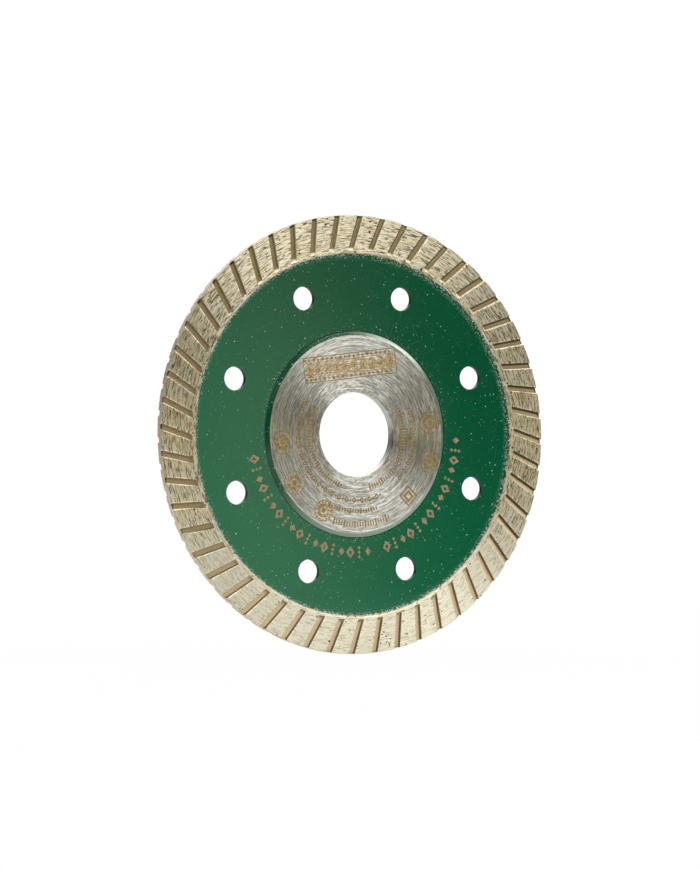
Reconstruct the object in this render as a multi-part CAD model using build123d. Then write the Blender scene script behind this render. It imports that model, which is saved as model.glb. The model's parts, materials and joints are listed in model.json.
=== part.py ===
from build123d import *
import math
import os

# A 115 mm diamond cutting blade for a hand-held grinder or tile saw: a thin steel core with a sintered,
# fluted diamond rim pressed round its edge and a reinforcing flange welded to each side of the hub.
#
# Millimetres. Every piece is modelled lying flat with the front face up, then stood up on its edge:
# the spin axis becomes Y, the front face looks towards -Y and +Z is up. The origin is the centre of the
# bore, on the blade's mid-plane.

# Whole blade
outer_diameter = 115.0
bore_diameter = 22.23
core_thickness = 1.2

# Rim
rim_thickness = 2.2
rim_height = 9.75
rim_bevel = 0.7
foot_height = 1.55

# Flutes in the rim's faces
flute_count = 52
flute_width = 1.5
flute_depth = 0.7
flute_lean = 17.4
flute_lean_diameter = 106.0
flute_first_angle = 5.8
flute_run_out = 1.0
plain_band = 0.55

# Notches that key the rim onto the core
key_count = 60
key_depth = 0.9
key_mouth = 1.6
key_root = 2.3
key_cover = 0.4

# Cooling holes
vent_count = 8
vent_diameter = 6.2
vent_circle_diameter = 76.9
vent_first_angle = 22.5

# Reinforcing flanges
flange_thickness = 0.75
flange_diameter = 53.9
flange_bevel = 1.05
bore_chamfer = 0.15

# Spot welds that hold the flanges
weld_count = 6
weld_diameter = 4.0
weld_reach = 0.3
weld_circle_diameter = 37.0

# How far a cutting shape runs past the face that it cuts
overrun = 1.0

outer_radius = outer_diameter / 2
bore_radius = bore_diameter / 2
rim_inner_radius = outer_radius - rim_height
foot_outer_radius = rim_inner_radius + foot_height
core_radius = foot_outer_radius - key_cover
core_face = core_thickness / 2
rim_face = rim_thickness / 2
flute_offset = flute_lean_diameter / 2 * math.sin(math.radians(flute_lean))

stand_up = Rot(90, 0, 0)
turn_over = Rot(180, 0, 0)


def around(shape, count, first_angle):
    """Copies of a shape, evenly spaced about the blade's axis."""
    pitch = 360 / count
    return [Rot(0, 0, first_angle + index * pitch) * shape for index in range(count)]


def washer(outside, inside, thickness):
    """A flat ring between two radii, centred on the mid-plane."""
    return Cylinder(outside, thickness) - Cylinder(inside, thickness)


def turned(*corners):
    """A solid of revolution from the corners (radius, height) of its section."""
    section = Plane.XZ * make_face(Polyline(*corners, close=True))
    return revolve(section, Axis.Z)


def along_flute(radius):
    """Distance from a flute's point of tangency to where it crosses a radius."""
    return math.sqrt(radius**2 - flute_offset**2)


def flute_cutter():
    """One flute of the front face: a flat floor that ramps up to the plain band at its inner end."""
    ramp_start = along_flute(rim_inner_radius + plain_band)
    ramp_end = along_flute(rim_inner_radius + plain_band + flute_run_out)
    ramp_slope = (ramp_end - ramp_start) / flute_depth
    floor = rim_face - flute_depth
    above = rim_face + overrun
    beyond = outer_radius + overrun
    side = Polyline(
        (ramp_start - overrun * ramp_slope, above),
        (ramp_end, floor),
        (beyond, floor),
        (beyond, above),
        close=True,
    )
    cutter = extrude(Plane.XZ * make_face(side), flute_width / 2, both=True)
    return Pos(0, flute_offset, 0) * cutter


def flutes():
    """The flutes of both faces. The rear ones run the same way and stand half a pitch on."""
    front = flute_cutter()
    rear = mirror(front, Plane.XY)
    turn = flute_first_angle - flute_lean
    half_pitch = 180 / flute_count
    return around(front, flute_count, turn) + around(rear, flute_count, turn + half_pitch)


def key_notch():
    """A dovetail notch in the core's edge, wider at its root than at its mouth."""
    root = core_radius - key_depth
    mouth = core_radius + overrun
    flare = (key_root - key_mouth) / key_depth
    outer_width = key_mouth - flare * overrun
    outline = Polyline(
        (root, -key_root / 2),
        (mouth, -outer_width / 2),
        (mouth, outer_width / 2),
        (root, key_root / 2),
        close=True,
    )
    return extrude(make_face(outline), core_thickness, both=True)


def weld_nugget():
    """A lens of fused steel, half in the core and half in the flange on its front face."""
    top = (0, core_face + weld_reach)
    edge = (weld_diameter / 2, core_face)
    bottom = (0, core_face - weld_reach)
    lens_radius = (weld_reach**2 + (weld_diameter / 2) ** 2) / (2 * weld_reach)
    upper = RadiusArc(top, edge, lens_radius)
    lower = RadiusArc(edge, bottom, lens_radius)
    section = Plane.XZ * make_face([upper, lower, Line(bottom, top)])
    return Pos(weld_circle_diameter / 2, 0, 0) * revolve(section, Axis.Z)


def make_front_nuggets():
    return around(weld_nugget(), weld_count, 0)


def make_rear_nuggets():
    """The rear welds stand between the front ones."""
    return around(turn_over * weld_nugget(), weld_count, 180 / weld_count)


def make_core_disc(welds):
    """The steel blank with its bore, cooling holes, keyed edge and weld spots."""
    blank = washer(core_radius, bore_radius, core_thickness)
    vent = Pos(vent_circle_diameter / 2, 0, 0) * Cylinder(vent_diameter / 2, core_thickness)
    vents = around(vent, vent_count, vent_first_angle)
    keys = around(key_notch(), key_count, 0)
    return blank - (vents + keys + welds)


def make_rim_foot(core_disc, cutters):
    """The diamond-free ring that wraps the core's keyed edge, with a bevel down to each face."""
    bevel_top = rim_inner_radius
    bevel_foot = rim_inner_radius - rim_bevel
    solid_ring = turned(
        (bevel_foot, -core_face),
        (bevel_top, -rim_face),
        (foot_outer_radius, -rim_face),
        (foot_outer_radius, rim_face),
        (bevel_top, rim_face),
        (bevel_foot, core_face),
    )
    return solid_ring - core_disc - cutters


def make_diamond_rim(cutters):
    return washer(outer_radius, foot_outer_radius, rim_thickness) - cutters


def make_front_flange(welds):
    """The hub's reinforcing disc, bevelled outside and lightly chamfered at the bore."""
    outside = flange_diameter / 2
    top = core_face + flange_thickness
    disc = turned(
        (bore_radius, core_face),
        (outside, core_face),
        (outside - flange_bevel, top),
        (bore_radius + bore_chamfer, top),
        (bore_radius, top - bore_chamfer),
    )
    return disc - welds


def make_rear_flange(welds):
    outside = flange_diameter / 2
    back = -core_face - flange_thickness
    disc = turned(
        (bore_radius, -core_face),
        (outside, -core_face),
        (outside - flange_bevel, back),
        (bore_radius + bore_chamfer, back),
        (bore_radius, back + bore_chamfer),
    )
    return disc - welds


def save(node, shapes):
    """Stand a piece, or a group of like pieces, on its edge and write it under its own name."""
    standing = [stand_up * shape for shape in shapes]
    whole = standing[0] if len(standing) == 1 else Compound(children=standing)
    whole.label = node
    export_step(whole, os.path.join("parts", node + ".step"))


os.makedirs("parts", exist_ok=True)

front_nuggets = make_front_nuggets()
rear_nuggets = make_rear_nuggets()
flute_cutters = flutes()
core_disc = make_core_disc(front_nuggets + rear_nuggets)

save("core_disc", [core_disc])
save("rim_foot", [make_rim_foot(core_disc, flute_cutters)])
save("diamond_rim", [make_diamond_rim(flute_cutters)])
save("front_flange", [make_front_flange(front_nuggets)])
save("rear_flange", [make_rear_flange(rear_nuggets)])
save("front_weld_nuggets", front_nuggets)
save("rear_weld_nuggets", rear_nuggets)
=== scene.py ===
import json
import math
import random

import bpy
import numpy as np
from mathutils import Matrix, Vector, noise


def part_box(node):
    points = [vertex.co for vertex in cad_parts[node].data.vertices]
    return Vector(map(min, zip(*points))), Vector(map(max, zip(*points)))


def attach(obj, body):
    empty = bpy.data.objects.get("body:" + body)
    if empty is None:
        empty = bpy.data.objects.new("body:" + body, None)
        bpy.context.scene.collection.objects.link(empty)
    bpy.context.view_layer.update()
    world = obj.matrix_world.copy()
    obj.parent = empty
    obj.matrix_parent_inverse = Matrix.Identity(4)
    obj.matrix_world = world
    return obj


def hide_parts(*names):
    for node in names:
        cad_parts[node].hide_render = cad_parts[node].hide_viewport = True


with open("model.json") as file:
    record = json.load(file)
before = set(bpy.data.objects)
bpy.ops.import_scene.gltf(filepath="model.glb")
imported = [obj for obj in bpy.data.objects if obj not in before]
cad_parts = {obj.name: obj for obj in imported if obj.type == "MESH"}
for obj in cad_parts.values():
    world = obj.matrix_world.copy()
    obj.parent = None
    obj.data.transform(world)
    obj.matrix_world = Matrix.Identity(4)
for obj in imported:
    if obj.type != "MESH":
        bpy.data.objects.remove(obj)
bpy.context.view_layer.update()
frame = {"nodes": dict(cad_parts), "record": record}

# A diamond cutting blade standing on its edge. Metres; the spin axis is Y and the marked front face
# looks towards -Y. "Radius" is always the distance from that axis, and an angle is counted from +X
# towards +Z, as seen from the front.

MM = 0.001
FRONT, REAR = -1, 1


# --- Sizes, all read from the frame ---

def half_size(node, axis):
    """Half of a CAD node's size along an axis: 0 for its radius, 1 for its half thickness."""
    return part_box(node)[1][axis]


def mount(name):
    return next(m for m in frame["record"]["mounts"] if m["name"] == name)


outer_radius = half_size("diamond_rim", 0)
rim_face = half_size("diamond_rim", 1)
foot_outer_radius = half_size("rim_foot", 0)
core_face = half_size("core_disc", 1)
hub_face = half_size("rear_flange", 1)
flange_radius = half_size("front_flange", 0)
bore_radius = mount("arbor_bore")["dims"]["r_mm"] * MM
core_radius = half_size("core_disc", 0)

rim_inner_radius = foot_outer_radius - 1.55 * MM
rim_bevel = 0.7 * MM
flange_bevel = 1.05 * MM
bore_chamfer = 0.15 * MM

flute_count = 52
flute_half_width = 0.75 * MM
flute_depth = 0.7 * MM
flute_lean = math.radians(17.4)
flute_lean_radius = 53.0 * MM
flute_first_angle = math.radians(5.8)
flute_offset = flute_lean_radius * math.sin(flute_lean)
ramp_start = rim_inner_radius + 0.55 * MM
ramp_length = 1.0 * MM


# --- Mesh helpers ---

def at(radius, angle, y):
    """A point given by its radius, its angle and its place along the spin axis."""
    return (radius * math.cos(angle), y, radius * math.sin(angle))


def piece(name, vertices, faces, materials, slots=None, smooth=True):
    """A mesh object that rides on the blade, with one material index per face."""
    mesh = bpy.data.meshes.new(name)
    mesh.from_pydata([tuple(v) for v in vertices], [], [tuple(f) for f in faces])
    for material in materials:
        mesh.materials.append(material)
    if slots is not None:
        mesh.polygons.foreach_set("material_index", np.asarray(slots, dtype=np.int32))
    mesh.polygons.foreach_set("use_smooth", [smooth] * len(mesh.polygons))
    mesh.update()
    made = bpy.data.objects.new(name, mesh)
    bpy.context.scene.collection.objects.link(made)
    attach(made, "root")
    return made


def sharpen(made, degrees):
    """Keep edges that turn more than this crisp, and shade the rest smooth."""
    made.data.set_sharp_from_angle(angle=math.radians(degrees))


def torus_faces(rows, columns):
    """Quads of a closed ring whose section has this many rows, going round in this many columns."""
    faces = []
    for row in range(rows):
        below = row * columns
        above = ((row + 1) % rows) * columns
        for column in range(columns):
            beside = (column + 1) % columns
            faces.append((below + column, above + column, above + beside, below + beside))
    return faces


def turned_ring(name, section, materials, slots, columns=360):
    """A closed ring turned from a section of (radius, y) corners, listed from the bore outwards."""
    angles = [column * math.tau / columns for column in range(columns)]
    vertices = [at(radius, angle, y) for radius, y in section for angle in angles]
    faces = torus_faces(len(section), columns)
    face_slots = [slots[row] for row in range(len(section)) for _ in range(columns)]
    made = piece(name, vertices, faces, materials, face_slots)
    sharpen(made, 24)
    return made


# --- Shader helpers ---

class Nodes:
    """Short ways to add and wire nodes in one material or node group."""

    def __init__(self, tree):
        self.tree = tree

    def add(self, kind, **settings):
        node = self.tree.nodes.new(kind)
        for name, value in settings.items():
            setattr(node, name, value)
        return node

    def wire(self, source, socket):
        if isinstance(source, bpy.types.NodeSocket):
            self.tree.links.new(source, socket)
        else:
            socket.default_value = source

    def math(self, operation, first, second=0.0, third=0.0, clamp=False):
        node = self.add("ShaderNodeMath", operation=operation, use_clamp=clamp)
        for value, socket in zip((first, second, third), node.inputs):
            self.wire(value, socket)
        return node.outputs[0]

    def times(self, first, second):
        return self.math("MULTIPLY", first, second)

    def plus(self, first, second):
        return self.math("ADD", first, second)

    def minus(self, first, second):
        return self.math("SUBTRACT", first, second)

    def larger(self, first, second):
        return self.math("MAXIMUM", first, second)

    def towards(self, x, z, right, up):
        """How far a point lies in a direction across the blade's face."""
        return self.plus(self.times(x, right), self.times(z, up))

    def ramp(self, value, low, high, bottom=0.0, top=1.0):
        """The value mapped from low..high to bottom..top with soft ends."""
        node = self.add("ShaderNodeMapRange", interpolation_type="SMOOTHSTEP")
        for source, socket in zip((value, low, high, bottom, top), node.inputs):
            self.wire(source, socket)
        return node.outputs[0]

    def blend(self, amount, first, second):
        """A colour between two colours."""
        node = self.add("ShaderNodeMix", data_type="RGBA", clamp_factor=True)
        self.wire(amount, node.inputs["Factor"])
        self.wire(first, node.inputs[6])
        self.wire(second, node.inputs[7])
        return node.outputs[2]

    def between(self, amount, first, second):
        """A number between two numbers."""
        node = self.add("ShaderNodeMix", data_type="FLOAT", clamp_factor=True)
        self.wire(amount, node.inputs["Factor"])
        self.wire(first, node.inputs[2])
        self.wire(second, node.inputs[3])
        return node.outputs[0]

    def vector(self, x, y, z):
        node = self.add("ShaderNodeCombineXYZ")
        for value, socket in zip((x, y, z), node.inputs):
            self.wire(value, socket)
        return node.outputs[0]

    def place(self):
        """The point on the blade in millimetres, as separate X, Y and Z."""
        coordinates = self.add("ShaderNodeTexCoord")
        scaled = self.add("ShaderNodeVectorMath", operation="SCALE")
        self.wire(coordinates.outputs["Object"], scaled.inputs[0])
        scaled.inputs["Scale"].default_value = 1000.0
        split = self.add("ShaderNodeSeparateXYZ")
        self.wire(scaled.outputs[0], split.inputs[0])
        return scaled.outputs[0], split.outputs[0], split.outputs[1], split.outputs[2]

    def noise(self, vector, scale, detail=2.0, roughness=0.5):
        node = self.add("ShaderNodeTexNoise")
        self.wire(vector, node.inputs["Vector"])
        self.wire(scale, node.inputs["Scale"])
        node.inputs["Detail"].default_value = detail
        node.inputs["Roughness"].default_value = roughness
        return node.outputs[0]

    def group(self, tree, **values):
        """What a copy of a shared effect puts out, with its own values."""
        node = self.add("ShaderNodeGroup", node_tree=tree)
        for name, value in values.items():
            self.wire(value, node.inputs[name.replace("_", " ")])
        return node.outputs[0]

    def bump(self, height, distance):
        node = self.add("ShaderNodeBump")
        node.inputs["Distance"].default_value = distance
        self.wire(height, node.inputs["Height"])
        return node.outputs[0]


def new_group(name, inputs, outputs):
    """An empty shared effect with its named inputs (with their defaults) and its named outputs."""
    tree = bpy.data.node_groups.new(name, "ShaderNodeTree")
    for label, value in inputs.items():
        socket = tree.interface.new_socket(label, in_out="INPUT", socket_type="NodeSocketFloat")
        socket.default_value = value
    for label in outputs:
        tree.interface.new_socket(label, in_out="OUTPUT", socket_type="NodeSocketFloat")
    nodes = Nodes(tree)
    source = nodes.add("NodeGroupInput")
    target = nodes.add("NodeGroupOutput")
    return tree, nodes, source.outputs, target.inputs


def new_material(name):
    """A material with a Principled shader, and the short ways to wire it."""
    material = bpy.data.materials.new(name)
    material.use_nodes = True
    return material, Nodes(material.node_tree)


def finish(material, nodes, colour, metallic, roughness, height=0.0, relief=0.0, spread=0.0):
    """Wire a material's shader. The relief is the depth of its height in metres.

    The spread fans the gloss out in sectors, across marks that run round the spin axis.
    """
    shader = material.node_tree.nodes["Principled BSDF"]
    nodes.wire(colour, shader.inputs["Base Color"])
    nodes.wire(metallic, shader.inputs["Metallic"])
    nodes.wire(roughness, shader.inputs["Roughness"])
    if relief:
        nodes.wire(nodes.bump(height, relief), shader.inputs["Normal"])
    if spread:
        tangent = nodes.add("ShaderNodeTangent", direction_type="RADIAL", axis="Y")
        nodes.wire(tangent.outputs[0], shader.inputs["Tangent"])
        shader.inputs["Anisotropic"].default_value = spread
        shader.inputs["Anisotropic Rotation"].default_value = 0.25
    return material


# --- Shared effects ---

def make_radius():
    """Distance from the spin axis, in millimetres."""
    tree, nodes, _, out = new_group("Radius", {}, ["Radius"])
    _, x, _, z = nodes.place()
    squares = nodes.plus(nodes.times(x, x), nodes.times(z, z))
    nodes.wire(nodes.math("SQRT", squares), out["Radius"])
    return tree


def make_turning_marks():
    """Fine marks that run round the blade, as a lathe or a grinding wheel leaves them, from 0 to 1."""
    settings = {"Marks per mm": 3.0, "Shortness": 8.0, "Detail": 3.0}
    tree, nodes, given, out = new_group("Turning marks", settings, ["Marks"])
    _, x, y, z = nodes.place()
    radius = nodes.group(radius_group)
    across = nodes.times(radius, given["Marks per mm"])
    side = nodes.times(y, 7.3)
    around_x = nodes.times(nodes.math("DIVIDE", x, radius), given["Shortness"])
    around_z = nodes.times(nodes.math("DIVIDE", z, radius), given["Shortness"])
    streak = nodes.vector(around_x, around_z, nodes.plus(across, side))
    pattern = nodes.add("ShaderNodeTexNoise")
    nodes.wire(streak, pattern.inputs["Vector"])
    pattern.inputs["Scale"].default_value = 1.0
    nodes.wire(given["Detail"], pattern.inputs["Detail"])
    pattern.inputs["Roughness"].default_value = 0.6
    nodes.wire(nodes.ramp(pattern.outputs[0], 0.3, 0.7), out["Marks"])
    return tree


def round_spots(nodes, given, spot, wobble_scale, wobble_detail, push, smallest, core):
    """A round spot near each of many scattered points: 1 at its core and 0 beyond its edge."""
    wobble = nodes.add("ShaderNodeTexNoise")
    nodes.wire(spot, wobble.inputs["Vector"])
    wobble.inputs["Scale"].default_value = wobble_scale
    wobble.inputs["Detail"].default_value = wobble_detail
    pushed = nodes.add("ShaderNodeVectorMath", operation="MULTIPLY_ADD")
    nodes.wire(wobble.outputs["Color"], pushed.inputs[0])
    pushed.inputs[1].default_value = (push, push, push)
    nodes.wire(spot, pushed.inputs[2])
    cells = nodes.add("ShaderNodeTexVoronoi")
    nodes.wire(pushed.outputs[0], cells.inputs["Vector"])
    nodes.wire(nodes.math("DIVIDE", 1.0, given["Spacing"]), cells.inputs["Scale"])
    split = nodes.add("ShaderNodeSeparateColor")
    nodes.wire(cells.outputs["Color"], split.inputs[0])
    grade = nodes.math("MULTIPLY_ADD", split.outputs[1], 0.9, smallest)
    reach = nodes.times(nodes.math("DIVIDE", given["Size"], given["Spacing"]), grade)
    return nodes.ramp(cells.outputs["Distance"], nodes.times(reach, core), reach, 1.0, 0.0)


def make_specks():
    """Scattered round specks of dust or grit, from 0 to 1. Spacing and size are in millimetres."""
    settings = {"Spacing": 2.0, "Size": 0.2}
    tree, nodes, given, out = new_group("Specks", settings, ["Specks"])
    place, _, _, _ = nodes.place()
    nodes.wire(round_spots(nodes, given, place, 6.0, 1.0, 0.4, 0.3, 0.5), out["Specks"])
    return tree


def make_pores():
    """Open pores drawn out round the blade by grinding, from 0 to 1. Spacing and size in millimetres."""
    settings = {"Spacing": 1.0, "Size": 0.2, "Length": 2.0}
    tree, nodes, given, out = new_group("Pores", settings, ["Pores"])
    _, x, y, z = nodes.place()
    radius = nodes.group(radius_group)
    around = nodes.math("DIVIDE", flute_lean_radius / MM, nodes.times(given["Length"], radius))
    turned = nodes.vector(nodes.times(x, around), nodes.times(z, around), nodes.plus(radius, y))
    nodes.wire(round_spots(nodes, given, turned, 3.0, 2.0, 0.5, 0.4, 0.6), out["Pores"])
    return tree


def make_scratches():
    """Hairline scratches, short and in every direction, from 0 to 1."""
    tree, nodes, given, out = new_group("Scratches", {"Share": 0.2}, ["Scratches"])
    place, x, y, z = nodes.place()
    total = None
    for turn, shift in ((0.35, 0.0), (1.25, 31.0), (2.3, 57.0)):
        along = nodes.towards(x, z, math.cos(turn), math.sin(turn))
        across = nodes.minus(nodes.times(z, math.cos(turn)), nodes.times(x, math.sin(turn)))
        stretched = nodes.vector(nodes.times(along, 0.16), nodes.times(across, 4.0), nodes.plus(y, shift))
        lines = nodes.noise(stretched, 1.0, detail=1.0)
        line = nodes.ramp(nodes.math("ABSOLUTE", nodes.minus(lines, 0.5)), 0.0, 0.012, 1.0, 0.0)
        where = nodes.noise(stretched, 0.9, detail=0.0)
        gate = nodes.ramp(where, nodes.minus(0.78, given["Share"]), 0.8)
        both = nodes.times(line, gate)
        total = both if total is None else nodes.larger(total, both)
    nodes.wire(total, out["Scratches"])
    return tree


def make_ragged_edge():
    """1 beyond a radius and 0 inside it, with the torn edge of masked spray paint."""
    settings = {"Edge": 47.5, "Raggedness": 0.4, "Softness": 0.08}
    tree, nodes, given, out = new_group("Ragged edge", settings, ["Beyond"])
    place, _, _, _ = nodes.place()
    radius = nodes.group(radius_group)
    tear = nodes.noise(place, 1.6, detail=4.0, roughness=0.65)
    offset = nodes.times(nodes.minus(tear, 0.5), given["Raggedness"])
    torn = nodes.math("MULTIPLY_ADD", offset, 4.0, radius)
    low = nodes.minus(given["Edge"], given["Softness"])
    high = nodes.plus(given["Edge"], given["Softness"])
    nodes.wire(nodes.ramp(torn, low, high), out["Beyond"])
    return tree


radius_group = make_radius()
turning_group = make_turning_marks()
specks_group = make_specks()
pores_group = make_pores()
scratches_group = make_scratches()
ragged_group = make_ragged_edge()


# --- Finishes ---

GREEN = (0.0014, 0.100, 0.040, 1)
GREEN_DEEP = (0.0008, 0.082, 0.032, 1)
# A paler green for the painted light towards the lower left
GREEN_PAINTED_LIGHT = (0.0024, 0.158, 0.066, 1)
GREEN_LINE = (0.001, 0.016, 0.007, 1)
FLECK = (0.72, 0.92, 0.76, 1)
BARE_STEEL = (0.66, 0.64, 0.57, 1)
BOND = (1.0, 0.89, 0.61, 1)
BOND_BROWN = (0.60, 0.475, 0.26, 1)
BOND_PALE = (1.0, 0.95, 0.75, 1)
STREAK_DARK = (0.11, 0.08, 0.04, 1)
PORE = (0.02, 0.015, 0.01, 1)

# Radii and heights where finishes change, in millimetres as the materials see them
PAINT_EDGE = (rim_inner_radius - rim_bevel) / MM
FOOT_FACE = rim_inner_radius / MM
HUB_EDGE = flange_radius / MM
BORE = bore_radius / MM
RIM_EDGE = outer_radius / MM
CORE_FACE = core_face / MM


def green_paint():
    """Glossy green spray paint on the core, with dust, scratches and flecks near the rim and the hub.

    The bore is machined after painting, so it is bare. The vents' walls are dull, and dark as painted
    shade.
    """
    material, nodes = new_material("green_paint")
    place, x, y, z = nodes.place()
    radius = nodes.group(radius_group)
    cloud = nodes.ramp(nodes.noise(place, 0.07, detail=3.0), 0.3, 0.7)
    mottle = nodes.ramp(nodes.noise(place, 2.6, detail=3.0, roughness=0.7), 0.3, 0.7)
    tone = nodes.math("MULTIPLY_ADD", mottle, 0.7, nodes.times(cloud, 0.3))
    colour = nodes.blend(tone, GREEN_DEEP, GREEN)
    # Painted light: the paint is paler towards the lower left
    lower_left = nodes.towards(x, z, -0.57, -0.82)
    painted_light_lower_left = nodes.math("MULTIPLY_ADD", lower_left, 0.0125, 0.38, clamp=True)
    colour = nodes.blend(painted_light_lower_left, colour, GREEN_PAINTED_LIGHT)
    dust = nodes.group(specks_group, Spacing=2.1, Size=0.16)
    fine = nodes.group(specks_group, Spacing=1.1, Size=0.10)
    dense = nodes.group(specks_group, Spacing=0.40, Size=0.11)
    brushed = nodes.group(turning_group, Marks_per_mm=3.0, Shortness=60.0, Detail=2.0)
    upper_right = nodes.towards(x, z, 0.77, 0.64)
    right = nodes.ramp(upper_right, 12.0, 40.0, 0.1, 0.7)
    near_rim = nodes.times(nodes.ramp(radius, PAINT_EDGE - 1.65, PAINT_EDGE - 0.05), right)
    near_rim = nodes.larger(near_rim, nodes.ramp(radius, PAINT_EDGE - 0.50, PAINT_EDGE - 0.20, 0.0, 0.9))
    near_hub = nodes.ramp(radius, HUB_EDGE - 0.05, HUB_EDGE + 2.45, 0.6, 0.0)
    crowded = nodes.times(dense, nodes.larger(near_rim, near_hub))
    brushed = nodes.times(nodes.ramp(brushed, 0.5, 0.8, 0.0, 0.4), near_rim)
    flecks = nodes.math("MAXIMUM", nodes.larger(dust, fine), crowded, clamp=True)
    scratches = nodes.group(scratches_group, Share=0.16)
    marked = nodes.larger(flecks, nodes.times(scratches, 0.12))
    marked = nodes.larger(marked, brushed)
    painted = nodes.blend(marked, colour, FLECK)
    rim_seam = nodes.ramp(radius, PAINT_EDGE - 0.19, PAINT_EDGE - 0.07)
    seam = nodes.times(rim_seam, nodes.ramp(mottle, 0.3, 0.7, 1.0, 0.0))
    hub_seam = nodes.ramp(radius, HUB_EDGE + 0.05, HUB_EDGE + 0.40, 1.0, 0.0)
    painted = nodes.blend(nodes.larger(seam, hub_seam), painted, GREEN_LINE)
    # Painted shade: the walls of the vents are coloured near black
    wall = nodes.ramp(nodes.math("ABSOLUTE", y), CORE_FACE - 0.015, CORE_FACE - 0.002, 1.0, 0.0)
    painted = nodes.blend(wall, painted, GREEN_LINE)
    bare = nodes.ramp(radius, BORE + 0.035, BORE + 0.085, 1.0, 0.0)
    colour = nodes.blend(bare, painted, BARE_STEEL)
    dull = nodes.larger(nodes.larger(marked, bare), wall)
    roughness = nodes.between(dull, 0.085, 0.5)
    height = nodes.math("MULTIPLY_ADD", flecks, 0.6, nodes.noise(place, 1.6, detail=3.0))
    return finish(material, nodes, colour, bare, roughness, height, 0.004 * MM)


def bevel_paint():
    """Paint on the flanges' bevels: rubbed thin in places, with painted highlight and painted reflection.
    """
    material, nodes = new_material("bevel_paint")
    place, x, _, z = nodes.place()
    cloud = nodes.ramp(nodes.noise(place, 0.4, detail=3.0), 0.3, 0.7)
    colour = nodes.blend(cloud, GREEN_DEEP, GREEN)
    face_radius = (flange_radius - flange_bevel) / MM
    painted_part = nodes.group(ragged_group, Edge=face_radius, Raggedness=0.06, Softness=0.04)
    flecks = nodes.group(specks_group, Spacing=0.8, Size=0.16)
    painted = nodes.blend(flecks, colour, FLECK)
    upper_right = nodes.towards(x, z, 0.68, 0.73)
    # Paint rubbed to the metal at the upper right, and paler there as a painted highlight
    rubbed_and_highlight = nodes.ramp(nodes.math("MULTIPLY_ADD", cloud, 3.0, upper_right), 18.0, 27.0, 0.0, 0.65)
    painted = nodes.blend(rubbed_and_highlight, painted, (0.58, 0.66, 0.56, 1))
    # Painted reflection of the floor: the bevel is paler low down
    low = nodes.towards(x, z, 0.3, -0.95)
    painted = nodes.blend(nodes.ramp(low, 4.0, 22.0, 0.0, 0.75), painted, (0.38, 0.52, 0.43, 1))
    colour = nodes.blend(painted_part, BARE_STEEL, painted)
    metallic = nodes.between(painted_part, 1.0, nodes.times(rubbed_and_highlight, 0.8))
    roughness = nodes.between(painted_part, 0.35, 0.18)
    return finish(material, nodes, colour, metallic, roughness, nodes.noise(place, 2.0), 0.01 * MM)


def turned_steel():
    """Bare flange steel, faced on a lathe: concentric marks and a gloss that fans out in sectors."""
    material, nodes = new_material("turned_steel")
    place, _, _, _ = nodes.place()
    rings = nodes.group(turning_group, Marks_per_mm=2.5, Shortness=0.8, Detail=3.0)
    arcs = nodes.group(turning_group, Marks_per_mm=3.9, Shortness=3.6, Detail=2.0)
    fine = nodes.group(turning_group, Marks_per_mm=5.4, Shortness=11.0, Detail=2.0)
    specks = nodes.group(specks_group, Spacing=1.0, Size=0.11)
    tone = nodes.blend(rings, (0.42, 0.41, 0.35, 1), (0.68, 0.67, 0.59, 1))
    tone = nodes.blend(nodes.ramp(arcs, 0.18, 0.34, 0.62, 0.0), tone, (0.22, 0.21, 0.165, 1))
    tone = nodes.blend(nodes.ramp(arcs, 0.66, 0.80, 0.0, 0.8), tone, (0.98, 0.97, 0.90, 1))
    tone = nodes.blend(nodes.ramp(fine, 0.16, 0.30, 0.6, 0.0), tone, (0.25, 0.24, 0.19, 1))
    tone = nodes.blend(nodes.ramp(fine, 0.68, 0.82, 0.0, 0.6), tone, (0.98, 0.97, 0.90, 1))
    stain = nodes.ramp(nodes.noise(place, 0.35, detail=4.0), 0.5, 0.75, 0.0, 0.3)
    tone = nodes.blend(stain, tone, (0.50, 0.43, 0.28, 1))
    colour = nodes.blend(specks, tone, (0.98, 0.97, 0.93, 1))
    roughness = nodes.between(fine, 0.34, 0.44)
    height = nodes.plus(arcs, nodes.times(rings, 1.4))
    return finish(material, nodes, colour, 1.0, roughness, height, 0.01 * MM, spread=0.9)


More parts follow.
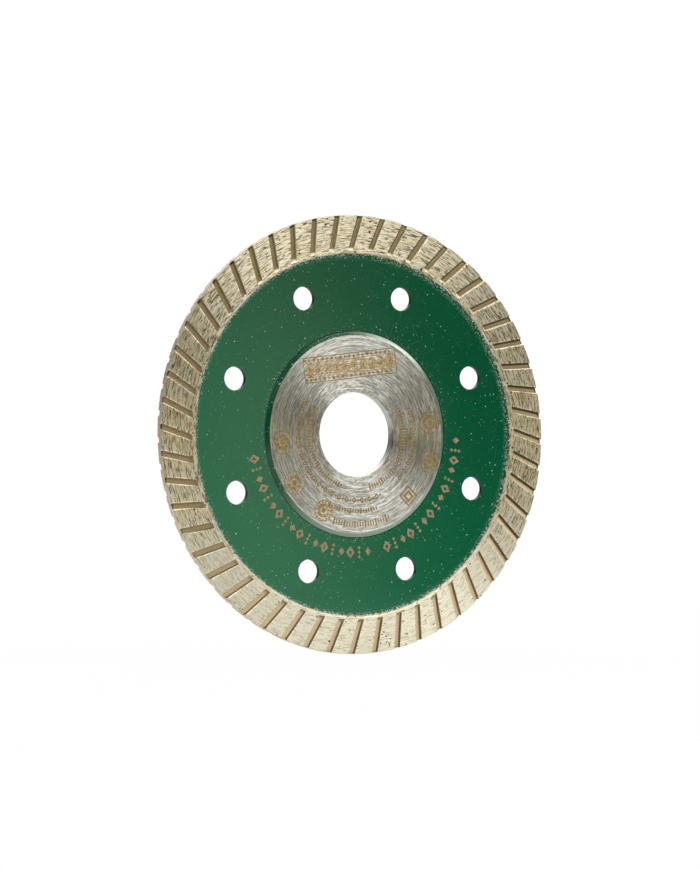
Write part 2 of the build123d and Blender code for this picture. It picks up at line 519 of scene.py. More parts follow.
def ground_bond_parts(nodes, pore_size):
    """Colour, roughness and height of sintered bronze ground flat: streaks round the blade and pores.

    The lower part of the rim is paler, with fewer dark streaks: a painted highlight.
    """
    place, _, _, z = nodes.place()
    lines = nodes.group(turning_group, Marks_per_mm=3.0, Shortness=13.0, Detail=1.0)
    hairs = nodes.group(turning_group, Marks_per_mm=4.2, Shortness=26.0, Detail=1.0)
    patches = nodes.ramp(nodes.noise(place, 0.30, detail=3.0), 0.35, 0.65)
    colour = nodes.blend(nodes.times(patches, 0.30), BOND, BOND_BROWN)
    # Painted highlight: the lower part of the rim is paler, with fewer dark streaks
    painted_lower_highlight = nodes.ramp(z, -36.0, -12.0, 0.9, 0.0)
    colour = nodes.blend(painted_lower_highlight, colour, BOND_PALE)
    colour = nodes.blend(nodes.ramp(lines, 0.58, 0.76, 0.0, 1.0), colour, BOND_PALE)
    worn_lines = nodes.ramp(lines, 0.24, 0.44, 0.85, 0.0)
    away_from_painted_highlight = nodes.math("MULTIPLY_ADD", painted_lower_highlight, -0.7, 1.0)
    colour = nodes.blend(nodes.times(worn_lines, away_from_painted_highlight), colour, BOND_BROWN)
    colour = nodes.blend(nodes.ramp(hairs, 0.65, 0.95, 0.0, 0.7), colour, BOND_PALE)
    dark_hairs = nodes.times(nodes.ramp(hairs, 0.10, 0.24, 0.90, 0.0), away_from_painted_highlight)
    colour = nodes.blend(dark_hairs, colour, STREAK_DARK)
    clusters = nodes.ramp(nodes.noise(place, 0.35, detail=2.0), 0.42, 0.62, 0.40, 1.25)
    size = nodes.times(clusters, pore_size)
    pores = nodes.group(pores_group, Spacing=0.95, Size=size, Length=1.3)
    colour = nodes.blend(pores, colour, PORE)
    roughness = nodes.between(hairs, 0.44, 0.34)
    relief = nodes.math("MULTIPLY_ADD", hairs, 0.5, lines)
    height = nodes.minus(relief, nodes.times(pores, 2.5))
    return colour, roughness, height


def ground_bond():
    """The lands of the rim."""
    material, nodes = new_material("ground_bond")
    colour, roughness, height = ground_bond_parts(nodes, 0.20)
    return finish(material, nodes, colour, 0.9, roughness, height, 0.02 * MM, spread=0.85)


def moulded_bond(name, shade):
    """The flutes: sintered bronze as it left the mould, even and olive-brown, dark where they break out.

    Painted highlight lower down; painted shade on the strip beside the wall overhanging it at the upper
    right.
    """
    material, nodes = new_material(name)
    place, x, _, z = nodes.place()
    radius = nodes.group(radius_group)
    grain = nodes.noise(place, 4.5, detail=3.0, roughness=0.6)
    cloud = nodes.ramp(nodes.noise(place, 0.6, detail=2.0), 0.35, 0.65)
    colour = nodes.blend(nodes.ramp(grain, 0.3, 0.7), (0.28, 0.21, 0.10, 1), (0.50, 0.39, 0.20, 1))
    colour = nodes.blend(nodes.times(cloud, 0.4), colour, (0.38, 0.29, 0.15, 1))
    # Painted highlight: the flutes grow paler towards the bottom
    low = nodes.towards(x, z, 0.35, -0.94)
    colour = nodes.blend(nodes.ramp(low, 0.0, 42.0, 0.0, 0.9), colour, (0.92, 0.74, 0.45, 1))
    # Darker at the flutes' outer ends, more so in the upper half
    end = nodes.math("MULTIPLY_ADD", cloud, 0.3, radius)
    dark_outer_end = nodes.ramp(end, RIM_EDGE - 0.6, RIM_EDGE - 0.2, 0.0, 0.92)
    dark_outer_end = nodes.times(dark_outer_end, nodes.ramp(z, -38.0, -5.0, 0.25, 1.0))
    colour = nodes.blend(dark_outer_end, colour, (0.03, 0.024, 0.015, 1))
    upper_right = nodes.towards(x, z, 0.87, 0.5)
    shaded = nodes.ramp(upper_right, 8.0, 30.0, 0.0, shade)
    colour = nodes.blend(shaded, colour, (0.06, 0.043, 0.02, 1))
    return finish(material, nodes, colour, 0.5, 0.55, grain, 0.03 * MM)


def painted_light_edge():
    """The flutes' leading edges: painted highlight at the upper right, painted shade at the lower left."""
    material, nodes = new_material("painted_light_edge")
    place, x, _, z = nodes.place()
    grain = nodes.noise(place, 3.0, detail=3.0)
    bright = nodes.blend(nodes.ramp(grain, 0.3, 0.6), (0.62, 0.50, 0.29, 1), (0.97, 0.90, 0.68, 1))
    dull = nodes.blend(nodes.ramp(grain, 0.3, 0.6), (0.20, 0.14, 0.07, 1), (0.46, 0.36, 0.20, 1))
    upper_right = nodes.towards(x, z, 0.77, 0.64)
    # Painted highlight at the upper right, painted shade at the lower left
    colour = nodes.blend(nodes.ramp(upper_right, 0.0, 24.0), dull, bright)
    return finish(material, nodes, colour, 0.5, 0.5, grain, 0.02 * MM)


def painted_shade_corner():
    """The flutes' trailing corners: painted shade, eased lower down, and a painted highlight at the far
    left.
    """
    material, nodes = new_material("painted_shade_corner")
    place, x, _, z = nodes.place()
    grain = nodes.noise(place, 2.4, detail=3.0)
    # Painted shade: dark, eased lower down; a painted highlight at the far left
    colour = nodes.blend(nodes.ramp(grain, 0.35, 0.7), (0.06, 0.043, 0.02, 1), (0.22, 0.16, 0.08, 1))
    colour = nodes.blend(nodes.ramp(z, -50.0, -15.0, 0.55, 0.0), colour, (0.42, 0.29, 0.15, 1))
    colour = nodes.blend(nodes.ramp(x, -52.0, -45.0, 0.85, 0.0), colour, (0.95, 0.86, 0.62, 1))
    return finish(material, nodes, colour, 0.4, 0.45, grain, 0.03 * MM)


def dressed_edge():
    """The cutting edge: the rim's outside, dressed with a stone so that it is pale and open."""
    material, nodes = new_material("dressed_edge")
    place, _, _, _ = nodes.place()
    grain = nodes.noise(place, 2.6, detail=4.0, roughness=0.65)
    colour = nodes.blend(nodes.ramp(grain, 0.3, 0.7), (0.62, 0.52, 0.33, 1), (1.0, 0.94, 0.74, 1))
    pores = nodes.group(pores_group, Spacing=0.9, Size=0.17, Length=1.2)
    colour = nodes.blend(pores, colour, (0.12, 0.09, 0.05, 1))
    return finish(material, nodes, colour, 0.3, 0.55, nodes.minus(grain, pores), 0.05 * MM)


def foot_bond():
    """The rim's foot: ground bronze above, sprayed over with paint down its bevel."""
    material, nodes = new_material("foot_bond")
    place, _, _, _ = nodes.place()
    colour, roughness, height = ground_bond_parts(nodes, 0.24)
    bronze = nodes.group(ragged_group, Edge=PAINT_EDGE + 0.40, Raggedness=0.26, Softness=0.06)
    flecks = nodes.group(specks_group, Spacing=0.40, Size=0.22)
    painted = nodes.blend(flecks, GREEN_DEEP, FLECK)
    slope = nodes.ramp(nodes.group(radius_group), FOOT_FACE - 0.15, FOOT_FACE + 0.10, 1.0, 0.0)
    colour = nodes.blend(nodes.times(slope, 0.6), colour, BOND_BROWN)
    colour = nodes.blend(bronze, painted, colour)
    roughness = nodes.between(nodes.times(bronze, slope), roughness, 0.6)
    metallic = nodes.times(bronze, nodes.between(slope, 0.85, 0.25))
    return finish(material, nodes, colour, metallic, roughness, height, 0.02 * MM, spread=0.8)


def copper_print():
    """Copper-coloured print, darker at its grainy edges."""
    material, nodes = new_material("copper_print")
    place, _, _, _ = nodes.place()
    grain = nodes.noise(place, 3.5, detail=3.0)
    colour = nodes.blend(nodes.ramp(grain, 0.36, 0.58), (0.12, 0.08, 0.035, 1), (0.46, 0.335, 0.19, 1))
    return finish(material, nodes, colour, 0.0, 0.5, grain, 0.01 * MM)


def straw_tint():
    """Steel tinted straw by a laser, over the same turning marks."""
    material, nodes = new_material("straw_tint")
    place, _, _, _ = nodes.place()
    grain = nodes.noise(place, 3.4, detail=3.0, roughness=0.65)
    fine = nodes.group(turning_group, Marks_per_mm=4.5, Shortness=11.0, Detail=3.0)
    colour = nodes.blend(nodes.ramp(grain, 0.38, 0.60), (0.60, 0.46, 0.20, 1), (0.34, 0.21, 0.055, 1))
    colour = nodes.blend(nodes.ramp(fine, 0.5, 0.9, 0.0, 0.6), colour, (0.95, 0.90, 0.74, 1))
    return finish(material, nodes, colour, 0.9, 0.42, nodes.plus(fine, grain), 0.01 * MM, spread=0.7)


def burnt_etch():
    """The deeper dots and lines of the etching, brown and grainy."""
    material, nodes = new_material("burnt_etch")
    place, _, _, _ = nodes.place()
    grain = nodes.noise(place, 4.5, detail=3.0, roughness=0.65)
    colour = nodes.blend(nodes.ramp(grain, 0.38, 0.60), (0.14, 0.08, 0.02, 1), (0.54, 0.38, 0.13, 1))
    return finish(material, nodes, colour, 0.6, 0.5, grain, 0.01 * MM)


def fused_steel():
    """Once-molten weld metal."""
    material, nodes = new_material("fused_steel")
    place, _, _, _ = nodes.place()
    skin = nodes.noise(place, 2.5, detail=4.0)
    colour = nodes.blend(skin, (0.30, 0.29, 0.29, 1), (0.55, 0.53, 0.50, 1))
    return finish(material, nodes, colour, 1.0, 0.4, skin, 0.03 * MM)


def diamond_crystal():
    """Exposed diamond grit: hard, glassy, yellow-green and dark where the bond shows through it."""
    material, nodes = new_material("diamond_crystal")
    place, _, _, _ = nodes.place()
    tint = nodes.noise(place, 2.0, detail=1.0)
    colour = nodes.blend(nodes.ramp(tint, 0.4, 0.6), (0.10, 0.09, 0.04, 1), (0.60, 0.58, 0.36, 1))
    material.node_tree.nodes["Principled BSDF"].inputs["IOR"].default_value = 2.4
    return finish(material, nodes, colour, 0.0, 0.12)


paint = green_paint()
paint_on_bevel = bevel_paint()
steel = turned_steel()
lands_finish = ground_bond()
flute_finish = moulded_bond("moulded_bond", 0.0)
shade_finish = moulded_bond("shaded_bond", 0.85)
edge_finish = dressed_edge()
foot_finish = foot_bond()
painted_light_edge_finish = painted_light_edge()
corner_shade_finish = painted_shade_corner()
print_finish = copper_print()
tint_finish = straw_tint()
burnt_finish = burnt_etch()
weld_finish = fused_steel()
crystal_finish = diamond_crystal()


# --- CAD nodes that stay ---

def refinish(node, material):
    slots = frame["nodes"][node].data.materials
    slots.clear()
    slots.append(material)


refinish("core_disc", paint)
refinish("front_weld_nuggets", weld_finish)
refinish("rear_weld_nuggets", weld_finish)


# --- Flanges ---

def make_flange(name, node, side):
    """A reinforcing flange: a turned face with real tool marks, a bevel and a broken bore edge."""
    rng = random.Random(11 if side == FRONT else 12)
    face_radius = flange_radius - flange_bevel
    ring_width = 0.25 * MM
    mark_depth = 0.003 * MM
    edge_round = 0.05 * MM
    start = bore_radius + bore_chamfer
    ring_count = int((face_radius - edge_round - start) / ring_width)
    section = [(bore_radius, core_face), (bore_radius, hub_face - bore_chamfer), (start, hub_face)]
    for index in range(1, ring_count):
        section.append((start + index * ring_width, hub_face - rng.random() * mark_depth))
    section += [
        (face_radius - edge_round, hub_face),
        (face_radius + edge_round, hub_face - edge_round),
        (flange_radius - edge_round, core_face + edge_round),
        (flange_radius, core_face),
    ]
    slots = [0] * (len(section) - 3) + [1, 1, 0]
    section = [(radius, side * y) for radius, y in section]
    if side == REAR:
        section = section[::-1]
        slots = slots[-2::-1] + [slots[-1]]
    made = turned_ring(name, section, [steel, paint_on_bevel], slots)
    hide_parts(node)


make_flange("front_flange_turned", "front_flange", FRONT)
make_flange("rear_flange_turned", "rear_flange", REAR)


# --- Rim ---

# Across one flute: distance from its centre line, share of the full depth there, and the kind of
# surface from there to the next point
PLAIN, FLOOR, SHADE, PAINTED_LIGHT_EDGE, CORNER = range(5)
edge_break = 0.08 * MM
wall_draft = 0.08 * MM
flute_profile = [
    # The leading edge takes a painted highlight and shade
    (-flute_half_width - edge_break, 0.0, PAINTED_LIGHT_EDGE),
    (-flute_half_width, 0.10, PAINTED_LIGHT_EDGE),
    (-flute_half_width + wall_draft, 0.86, FLOOR),
    (-flute_half_width + 2.2 * wall_draft, 1.0, FLOOR),
    (-flute_half_width * 0.3, 1.0, FLOOR),
    (flute_half_width * 0.3, 1.0, SHADE),
    # The trailing corner takes a painted shade
    (flute_half_width - 2.1 * wall_draft, 1.0, CORNER),
    (flute_half_width - 1.7 * wall_draft, 0.96, CORNER),
    (flute_half_width - wall_draft, 0.86, CORNER),
    (flute_half_width, 0.10, CORNER),
    (flute_half_width + edge_break, 0.0, PLAIN),
]
land_fill = 3

# How far the rim's surfaces rise and fall, by how they were made
ground_relief = 0.02 * MM
pressed_relief = 0.03 * MM
dressed_relief = 0.035 * MM


def rim_columns():
    """Columns of the rim's mesh: (turn, offset, front depth, rear depth, kind, share to the next).

    A column follows a line at that offset beside a flute's centre line. Between a front flute and the
    rear flute half a pitch on, filling columns lie part of the way from one such line to the next.
    """
    columns = []
    pitch = math.tau / flute_count
    first_turn = flute_first_angle - flute_lean
    last_offset = flute_profile[-1][0]
    for flute in range(2 * flute_count):
        turn = first_turn + flute * pitch / 2
        on_front = flute % 2 == 0
        for offset, share, kind in flute_profile:
            depth = share * flute_depth
            front_depth, rear_depth = (depth, 0.0) if on_front else (0.0, depth)
            columns.append((turn, offset, front_depth, rear_depth, kind, 0.0))
        for step in range(1, land_fill + 1):
            columns.append((turn, last_offset, 0.0, 0.0, PLAIN, step / (land_fill + 1)))
    return columns


def column_angles(columns, radius):
    """Where every column crosses a radius."""
    half_pitch = math.pi / flute_count
    angles = []
    for turn, offset, _, _, _, share in columns:
        here = turn + math.asin((flute_offset + offset) / radius)
        if share:
            following = turn + half_pitch + math.asin((flute_offset + flute_profile[0][0]) / radius)
            here += (following - here) * share
        angles.append(here)
    return np.array(angles)


def streaky(radius, angle, side):
    """Height of the ground surface's marks, from about -1 to 1: long round the blade, short across it."""
    across = radius / MM * 1.6 + side * 40
    spot = Vector((math.cos(angle) * 30, math.sin(angle) * 30, across))
    return noise.noise(spot)


def lumpy(radius, angle, y):
    """Even roughness of pressed powder, from about -1 to 1."""
    return noise.noise(Vector(at(radius, angle, y)) / (0.55 * MM))


class RimSection:
    """Rows of the rim's mesh, gathered while going round its section.

    Each row also says which finish its quads take: one slot for a plain row, or on a face a slot for
    each kind of surface.
    """

    def __init__(self, columns):
        self.columns = columns
        self.depths = {
            FRONT: np.array([column[2] for column in columns]),
            REAR: np.array([column[3] for column in columns]),
        }
        self.kinds = np.array([column[4] for column in columns])
        self.rows = []
        self.slots = []

    def kinds_on(self, side):
        """The kind of each quad on one face: the other face's flutes are plain here."""
        depth = self.depths[side]
        sunk = np.maximum(depth, np.roll(depth, -1)) > 0
        return np.where(sunk, self.kinds, PLAIN)

    def face_row(self, radius, side, slots, share=1.0, drop=0.0, relief=1.0):
        """A row on a face, sunk by a share of the flutes' depth, by a drop and by its own roughness."""
        angles = column_angles(self.columns, radius)
        depth = self.depths[side] * share
        ground = np.array([streaky(radius, angle, side) for angle in angles]) - 1.0
        pressed = np.array([lumpy(radius, angle, side * rim_face) for angle in angles])
        pressed_here = depth > 0.05 * MM
        rough = np.where(pressed_here, pressed * pressed_relief, ground * ground_relief) * relief
        heights = side * (rim_face - drop - depth + rough)
        self.rows.append((np.full(len(angles), radius), angles, heights))
        self.slots.append(np.array(slots)[self.kinds_on(side)])

    def plain_row(self, radius, y, slot):
        angles = column_angles(self.columns, radius)
        self.rows.append((np.full(len(angles), radius), angles, np.full(len(angles), y)))
        self.slots.append(np.full(len(angles), slot))

    def outside_row(self, share, inset, slot):
        """A row on the cutting edge, part of the way from the front face to the rear one."""
        angles = column_angles(self.columns, outer_radius)
        front = -(rim_face - self.depths[FRONT]) + inset
        rear = (rim_face - self.depths[REAR]) - inset
        heights = front + (rear - front) * share
        rough = np.array([lumpy(outer_radius, a, y) for a, y in zip(angles, heights)])
        self.rows.append((outer_radius + (rough - 1.0) * dressed_relief, angles, heights))
        self.slots.append(np.full(len(angles), slot))

    def make(self, name, materials, crease):
        vertices = [
            at(radius, angle, y)
            for radii, angles, heights in self.rows
            for radius, angle, y in zip(radii, angles, heights)
        ]
        faces = torus_faces(len(self.rows), len(self.columns))
        made = piece(name, vertices, faces, materials, np.concatenate(self.slots))
        sharpen(made, crease)
        return made


def make_diamond_rim():
    """The fluted ring of ground, grit-filled bronze."""
    land, flute, shade, lit_edge, corner_shade, outside = range(6)
    slots = (land, flute, shade, lit_edge, corner_shade)
    row_step = 0.36 * MM
    corner = 0.12 * MM
    section = RimSection(rim_columns())
    span = outer_radius - corner - foot_outer_radius
    steps = round(span / row_step)
    radii = [foot_outer_radius + span * step / steps for step in range(steps + 1)]
    for radius in radii:
        section.face_row(radius, FRONT, slots)
    section.slots[-1][:] = outside
    for share in (0.0, 0.33, 0.67, 1.0):
        section.outside_row(share, corner, outside)
    for radius in reversed(radii):
        section.face_row(radius, REAR, slots)
    finishes = [lands_finish, flute_finish, shade_finish, painted_light_edge_finish, corner_shade_finish, edge_finish]
    made = section.make("diamond_rim_ground", finishes, 35)
    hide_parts("diamond_rim")


def make_rim_foot():
    """The foot of the rim: a bevel up from the core, a plain band, and the flutes' run-out ramps."""
    foot, flute, shade, lit_edge, corner_shade = range(5)
    section = RimSection(rim_columns())
    bevel_drop = rim_face - core_face
    channel = core_radius + 0.05 * MM
    rows = [
        (rim_inner_radius - rim_bevel, 0.0, bevel_drop, 0.0),
        (rim_inner_radius - rim_bevel / 2, 0.0, bevel_drop * 0.42, 1.0),
        (rim_inner_radius, 0.0, 0.03 * MM, 1.0),
        (rim_inner_radius + 0.2 * MM, 0.0, 0.0, 1.0),
    ]
    ramp_steps = 5
    for step in range(ramp_steps + 1):
        share = step / ramp_steps
        rows.append((ramp_start + ramp_length * share, share, 0.0, 1.0))
    rows[-1] = (foot_outer_radius, 1.0, 0.0, 1.0)

    def slots_at(share):
        """The finish of each kind of surface, by the share of the flutes' depth that a row has."""
        if share < 0.1:
            return (foot, foot, foot, foot, foot)
        # The run-out ramps take the leading edges' painted highlight and shade
        if share < 0.6:
            return (foot, lit_edge, lit_edge, lit_edge, lit_edge)
        return (foot, flute, shade, lit_edge, corner_shade)

    for radius, share, drop, relief in rows:
        section.face_row(radius, FRONT, slots_at(share), share, drop, relief)
    section.slots[-1][:] = foot
    for radius, share, drop, relief in reversed(rows):
        section.face_row(radius, REAR, slots_at(share), share, drop, relief)
    section.slots[-1][:] = foot
    for y in (core_face, -core_face):
        section.plain_row(channel, y, foot)
    finishes = [foot_finish, flute_finish, shade_finish, painted_light_edge_finish, corner_shade_finish]
    made = section.make("rim_foot_ground", finishes, 40)
    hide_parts("rim_foot")


make_diamond_rim()
make_rim_foot()


# --- Diamond grit that stands out of the lands and the cutting edge ---

OCTAHEDRON = [(1, 0, 0), (-1, 0, 0), (0, 1, 0), (0, -1, 0), (0, 0, 1), (0, 0, -1)]
BELT_EDGES = [(0, 2), (2, 1), (1, 3), (3, 0)]
OCTAHEDRON_FACES = [(a, b, 4) for a, b in BELT_EDGES] + [(b, a, 5) for a, b in BELT_EDGES]


def in_flute(radius, angle, side):
    """Whether a spot on a face lies in a flute or on its edge."""
    pitch = math.tau / flute_count
    shift = 0.0 if side == FRONT else pitch / 2
    across = (angle - (flute_first_angle - flute_lean) - shift) % pitch
    lean = math.asin(flute_offset / radius) % pitch
    off = (across - lean + pitch / 2) % pitch - pitch / 2
    return abs(off) * radius < flute_half_width + 0.25 * MM


def make_grit():
    """Crystals that stand a little proud of the lands, and crystals set in the cutting edge."""
    rng = random.Random(7)
    crystals_on_face, crystals_on_edge = 700, 420
    vertices, faces = [], []

    def crystal(centre, size):
        about_x = Matrix.Rotation(rng.uniform(0, math.tau), 3, "X")
        about_y = Matrix.Rotation(rng.uniform(0, math.tau), 3, "Y")
        base = len(vertices)
        stretch = rng.uniform(0.75, 1.0)
        for x, y, z in OCTAHEDRON:
            local = about_x @ about_y @ Vector((x, y * stretch, z))
            vertices.append(Vector(centre) + local * size)
        faces.extend(tuple(base + index for index in face) for face in OCTAHEDRON_FACES)

    margin = 0.4 * MM
    for side in (FRONT, REAR):
        placed = 0
        while placed < crystals_on_face:
            radius = rng.uniform(foot_outer_radius + margin, outer_radius - margin)
            angle = rng.uniform(0, math.tau)
            if in_flute(radius, angle, side):
                continue
            size = rng.uniform(0.09, 0.17) * MM
            proud = rng.uniform(0.15, 0.4) * size
            crystal(at(radius, angle, side * (rim_face - ground_relief - size + proud)), size)
            placed += 1
    for _ in range(crystals_on_edge):
        size = rng.uniform(0.10, 0.18) * MM
        y = rng.uniform(-0.3, 0.3) * MM
        angle = rng.uniform(0, math.tau)
        crystal(at(outer_radius - size * 1.05, angle, y), size)
    made = piece("diamond_grit", vertices, faces, [crystal_finish], smooth=False)


make_grit()


# --- Marks: plain shapes only, printed on the core and etched on the front flange ---

class Marks:
    """Thin flat shapes on the front of the blade, gathered into one mesh."""

    def __init__(self, surface, thickness):
        self.low = -(surface - 0.004 * MM)
        self.high = -(surface + thickness)
        self.vertices = []
        self.faces = []

    def sheet(self, outline, lift=1.0):
        """A filled outline of (x, z) points, listed anticlockwise as seen from the front."""
        base = len(self.vertices)
        count = len(outline)
        for y in (self.low, self.low + (self.high - self.low) * lift):
            self.vertices += [(x, y, z) for x, z in outline]
        self.faces.append(tuple(base + index for index in reversed(range(count))))
        self.faces.append(tuple(base + count + index for index in range(count)))
        for index in range(count):
            after = (index + 1) % count
            self.faces.append((base + index, base + after, base + count + after, base + count + index))

    def loop(self, outer, inner):
        """A closed band between two outlines with the same number of points."""
        base = len(self.vertices)
        count = len(outer)
        for y in (self.low, self.high):
            for outline in (outer, inner):
                self.vertices += [(x, y, z) for x, z in outline]
        for index in range(count):
            after = (index + 1) % count
            low_out, low_in, high_out, high_in = (base + count * ring for ring in range(4))
            self.faces.append((high_out + index, high_out + after, high_in + after, high_in + index))
            self.faces.append((low_out + after, low_out + index, low_in + index, low_in + after))
            self.faces.append((low_out + index, low_out + after, high_out + after, high_out + index))
            self.faces.append((low_in + after, low_in + index, high_in + index, high_in + after))

    def make(self, name, material, slot):
        made = piece(name, self.vertices, self.faces, [material], smooth=False)


def seated(angle, radius, points):
    """Points given as (along the arc, outwards) in millimetres, seated at an angle and a radius."""
    c, s = math.cos(angle), math.sin(angle)
    from_axis = [(u * MM, radius + v * MM) for u, v in points]
    return [(c * out - s * along, s * out + c * along) for along, out in from_axis]


def placed(x, z, points):
    """Points given in millimetres from a spot that is itself given in millimetres from the axis."""
    return [((x + u) * MM, (z + v) * MM) for u, v in points]


def lozenge(width, height):
    return [(width / 2, 0), (0, height / 2), (-width / 2, 0), (0, -height / 2)]


def bar(width, height):
    u, v = width / 2, height / 2
    return [(u, -v), (u, v), (-u, v), (-u, -v)]


def moved(points, u, v):
    return [(x + u, y + v) for x, y in points]


def disc(radius, count=40):
    turns = [math.tau * index / count for index in range(count)]
    return [(radius * math.cos(turn), radius * math.sin(turn)) for turn in turns]


def print_band():
    """Copper-coloured lozenges, hollow, small and solid by turns, round the core's lower half."""
    marks = Marks(core_face, 0.012 * MM)
    radius = 30.9 * MM
    pitch, first, gap = math.radians(4.97), math.radians(191.5), math.radians(6.0)
    count, gap_after = 33, 17
    for index in range(count):
        angle = first + index * pitch + (gap if index > gap_after else 0.0)
        kind = index % 3
        if kind == 0:
            marks.loop(seated(angle, radius, lozenge(2.5, 3.2)), seated(angle, radius, lozenge(0.95, 1.3)))
        elif kind == 1:
            for level in (-1.15, 0, 1.15):
                marks.sheet(seated(angle, radius, moved(lozenge(1.0, 1.0), 0, level)))
        else:
            marks.sheet(seated(angle, radius, lozenge(1.7, 2.2)))
    marks.make("copper_print_band", print_finish, "painted_core")


# The etched marks, in millimetres
PANEL_CENTRE = (-1.6, 18.0)
PANEL_TILT = math.radians(6.0)
PANEL_WIDTH, PANEL_HEIGHT = 28.0, 6.8
PANEL_CELLS = 10
PANEL_CELL = (PANEL_WIDTH - 1.0) / PANEL_CELLS
PANEL_MIDDLES = [PANEL_CELL * (index + 0.5 - PANEL_CELLS / 2) for index in range(PANEL_CELLS)]

# Round badges: where they are, their radius and their rings of dots
ROUND_BADGES = [
    (-22.3, -1.9, 3.2, 1),
    (-18.9, -12.4, 3.2, 1),
    (22.3, 2.9, 3.1, 1),
    (22.2, -7.5, 3.1, 1),
    (-10.4, -19.8, 2.9, 2),
]
SQUARE_BADGE = (15.4, -16.4)


def on_panel(points):
    """Points of the tilted panel, given from its own centre, placed on the hub."""
    c, s = math.cos(PANEL_TILT), math.sin(PANEL_TILT)
    return placed(*PANEL_CENTRE, [(u * c - v * s, u * s + v * c) for u, v in points])


def tinted_marks():
    """The wide parts of the etching, tinted straw: the panel's lozenges and lines, the badges' rings."""
    marks = Marks(hub_face, 0.005 * MM)
    tall = PANEL_HEIGHT - 1.2
    for middle in PANEL_MIDDLES:
        outer = moved(lozenge(PANEL_CELL * 0.98, tall), middle, 0)
        inner = moved(lozenge(PANEL_CELL * 0.36, tall * 0.36), middle, 0)
        marks.loop(on_panel(outer), on_panel(inner))
    for level in range(-4, 5):
        marks.sheet(on_panel(moved(bar(PANEL_WIDTH - 1.0, 0.24), 0, level * 0.62)), 0.7)
    for x, z, size, _ in ROUND_BADGES:
        for outer, inner in ((size, size - 0.38), (size * 0.66, size * 0.34)):
            marks.loop(placed(x, z, disc(outer)), placed(x, z, disc(inner)))
    marks.make("tinted_marks", tint_finish, "flange_steel")


def burnt_marks():
    """The deeper parts of the etching: the panel's border and studs, dots, and rows round the bore."""
    marks = Marks(hub_face, 0.009 * MM)

    def panel_border():
        """A thin frame, with studs along its middle and beside its long edges."""
        inner = bar(PANEL_WIDTH - 0.5, PANEL_HEIGHT - 0.5)
        marks.loop(on_panel(bar(PANEL_WIDTH, PANEL_HEIGHT)), on_panel(inner))
        for middle in PANEL_MIDDLES:
            marks.sheet(on_panel(moved(lozenge(0.7, 1.5), middle, 0)))
            for end in (-1, 1):
                level = end * (PANEL_HEIGHT / 2 - 0.85)
                marks.sheet(on_panel(moved(disc(0.42, 10), middle - PANEL_CELL / 2 + 0.1, level)))
                marks.sheet(on_panel(moved(disc(0.30, 10), middle, level)))

    def round_badge(x, z, size, rings):
        """One large dot with rings of small dots round it."""
        marks.sheet(placed(x, z, disc(size * 0.21, 12)))
        for ring in range(rings):
            reach = size * (0.50 + 0.30 * ring)
            for spot in disc(reach, 9 + 6 * ring):
                marks.sheet(placed(x, z, moved(disc(0.24, 8), *spot)))

    def graduations(radius, start, end, height, long_every):
        """Evenly spaced ticks, every few of them a longer one."""
        step = 0.80 * MM / radius
        for index in range(int(math.radians(end - start) / step)):
            tick = bar(0.38, height * 0.8) if index % long_every else bar(0.5, height * 1.15)
            marks.sheet(seated(math.radians(start) + index * step, radius, tick))

    def chain(radius, start, end, height):
        """Hollow lozenges and small solid ones by turns."""
        step = 1.15 * MM / radius
        for index in range(int(math.radians(end - start) / step)):
            angle = math.radians(start) + index * step
            if index % 2:
                marks.sheet(seated(angle, radius, lozenge(0.7, 0.8)))
            else:
                outer = seated(angle, radius, lozenge(1.4, height * 1.1))
                marks.loop(outer, seated(angle, radius, lozenge(0.5, height * 0.45)))

    panel_border()
    for badge in ROUND_BADGES:
        round_badge(*badge)
    for width, hollow in ((5.6, 0.78), (3.2, 0.5)):
        outer = placed(*SQUARE_BADGE, lozenge(width, width))
        marks.loop(outer, placed(*SQUARE_BADGE, lozenge(width * hollow, width * hollow)))
    graduations(14.3 * MM, 150, 255, 1.5, 5)
    graduations(14.3 * MM, 285, 395, 1.5, 5)
    chain(17.3 * MM, 152, 300, 1.7)
    chain(17.3 * MM, 318, 388, 1.7)
    graduations(20.1 * MM, 245, 290, 1.3, 4)
    graduations(23.6 * MM, 252, 296, 1.7, 4)
    marks.make("burnt_marks", burnt_finish, "flange_steel")


print_band()
tinted_marks()
burnt_marks()


# --- Studio: a pale floor, soft light and the camera ---

# Brightness of the studio's parts, where 1 is white
CEILING = 3.5
TABLE = 2.8
PANEL = 1.2
LEFT_WALL = 0.30
STRIP = 0.72


def make_floor():
    """A round pale floor, bright enough to melt into the white backdrop behind it."""
    material = bpy.data.materials.new("studio_floor")
    material.use_nodes = True
    nodes = Nodes(material.node_tree)
    material.node_tree.nodes.clear()
    matt = nodes.add("ShaderNodeBsdfDiffuse")
    matt.inputs["Color"].default_value = (0.86, 0.86, 0.86, 1)
    glow = nodes.add("ShaderNodeEmission")
    glow.inputs["Color"].default_value = (1, 1, 1, 1)
    glow.inputs["Strength"].default_value = 1.0
    rays = nodes.add("ShaderNodeLightPath")
    mix = nodes.add("ShaderNodeMixShader")
    share = nodes.times(rays.outputs["Is Camera Ray"], 0.97)
    nodes.wire(share, mix.inputs[0])
    nodes.wire(matt.outputs[0], mix.inputs[1])
    nodes.wire(glow.outputs[0], mix.inputs[2])
    output = nodes.add("ShaderNodeOutputMaterial")
    nodes.wire(mix.outputs[0], output.inputs["Surface"])
    count, radius = 96, 0.42
    turns = [math.tau * index / count for index in range(count)]
    rim = [(radius * math.cos(turn), radius * math.sin(turn), -outer_radius) for turn in turns]
    mesh = bpy.data.meshes.new("floor")
    mesh.from_pydata(rim, [], [tuple(range(count))])
    mesh.materials.append(material)
    floor = bpy.data.objects.new("floor", mesh)
    bpy.context.scene.collection.objects.link(floor)


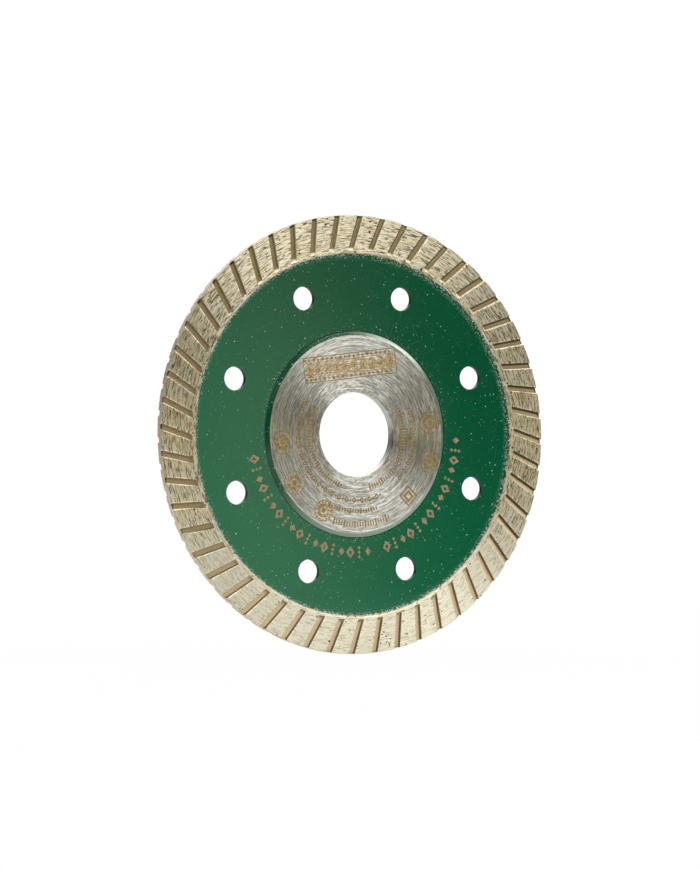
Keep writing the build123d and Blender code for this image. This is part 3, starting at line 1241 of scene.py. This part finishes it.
def make_backdrop():
    """White to the camera; to the blade, a dark room with a bright ceiling, table and walls.

    "Sideways" is how far a direction leans towards +X for each unit ahead or behind, so the room is
    the same in front of the blade and behind it. The ceiling and the table are brighter towards +X.
    The walls are lit near the blade's level only: a narrow panel, and strips to both sides of it.
    """
    world = bpy.data.worlds.new("studio")
    bpy.context.scene.world = world
    world.use_nodes = True
    nodes = Nodes(world.node_tree)
    world.node_tree.nodes.clear()
    direction = nodes.add("ShaderNodeTexCoord")
    split = nodes.add("ShaderNodeSeparateXYZ")
    nodes.wire(direction.outputs["Generated"], split.inputs[0])
    x, y, z = split.outputs
    ahead = nodes.larger(nodes.math("ABSOLUTE", y), 0.02)
    sideways = nodes.math("DIVIDE", x, ahead)
    ceiling = nodes.times(nodes.ramp(z, 0.32, 0.46, 0.0, CEILING), nodes.ramp(z, 0.55, 0.75, 1.0, 0.35))
    ceiling = nodes.times(ceiling, nodes.ramp(sideways, -0.35, 0.12, 0.12, 1.0))
    table = nodes.times(nodes.ramp(z, -0.42, -0.27, TABLE, 0.0), nodes.ramp(z, -0.95, -0.60, 0.45, 1.0))
    table = nodes.times(table, nodes.ramp(sideways, -0.05, 0.26, 0.04, 1.0))
    panel = nodes.times(
        nodes.ramp(sideways, 0.510, 0.548, LEFT_WALL, PANEL),
        nodes.ramp(sideways, 0.553, 0.602, 1.0, 0.0),
    )
    strips = nodes.plus(
        nodes.ramp(sideways, 0.42, 0.50, STRIP, 0.0),
        nodes.ramp(sideways, 0.68, 1.1, 0.0, STRIP),
    )
    height = nodes.ramp(nodes.math("ABSOLUTE", z), 0.02, 0.10, 1.0, 0.0)
    end = nodes.ramp(sideways, -0.75, -0.20, 0.08, 1.0)
    walls = nodes.times(nodes.plus(panel, strips), nodes.times(height, end))
    light = nodes.plus(nodes.plus(ceiling, table), walls)
    rays = nodes.add("ShaderNodeLightPath")
    strength = nodes.between(rays.outputs["Is Camera Ray"], light, 1.0)
    sky = nodes.add("ShaderNodeBackground")
    cool = nodes.larger(rays.outputs["Is Camera Ray"], nodes.ramp(z, 0.05, 0.40))
    nodes.wire(nodes.blend(cool, (1.0, 0.94, 0.72, 1), (1, 1, 1, 1)), sky.inputs["Color"])
    nodes.wire(nodes.plus(strength, 0.01), sky.inputs["Strength"])
    output = nodes.add("ShaderNodeOutputWorld")
    nodes.wire(sky.outputs[0], output.inputs["Surface"])


def soft_light(name, place, aim, width, height, power):
    """A rectangular soft box that the camera doesn't see."""
    data = bpy.data.lights.new(name, "AREA")
    data.shape = "RECTANGLE"
    data.size = width
    data.size_y = height
    data.energy = power
    lamp = bpy.data.objects.new(name, data)
    lamp.location = place
    lamp.rotation_euler = (Vector(aim) - Vector(place)).to_track_quat("-Z", "Y").to_euler()
    lamp.visible_camera = False
    bpy.context.scene.collection.objects.link(lamp)


def make_camera():
    azimuth, elevation, roll = math.radians(-29.99), math.radians(-0.82), math.radians(1.04)
    distance = 1.1106
    aim = Vector((-0.93, 0.54, -0.01)) * MM
    flat = math.cos(elevation)
    back = Vector((math.sin(azimuth) * flat, -math.cos(azimuth) * flat, math.sin(elevation)))
    data = bpy.data.cameras.new("camera")
    data.lens = 175.57
    data.sensor_width = 36.0
    data.clip_start = 0.01
    camera = bpy.data.objects.new("camera", data)
    camera.location = aim + back * distance
    camera.rotation_mode = "QUATERNION"
    level = (-back).to_track_quat("-Z", "Y")
    camera.rotation_quaternion = level @ Matrix.Rotation(-roll, 4, "Z").to_quaternion()
    bpy.context.scene.collection.objects.link(camera)
    bpy.context.scene.camera = camera


make_floor()
make_backdrop()
key_size, key_power = 0.14, 0.10
for name, side in (("key_light", 1), ("rear_key_light", -1)):
    soft_light(name, (0.056 * side, -0.336 * side, 0.293), (0, 0, 0), key_size, key_size, key_power)
make_camera()

bpy.context.scene.view_settings.view_transform = "Standard"
bpy.context.scene.view_settings.look = "None"
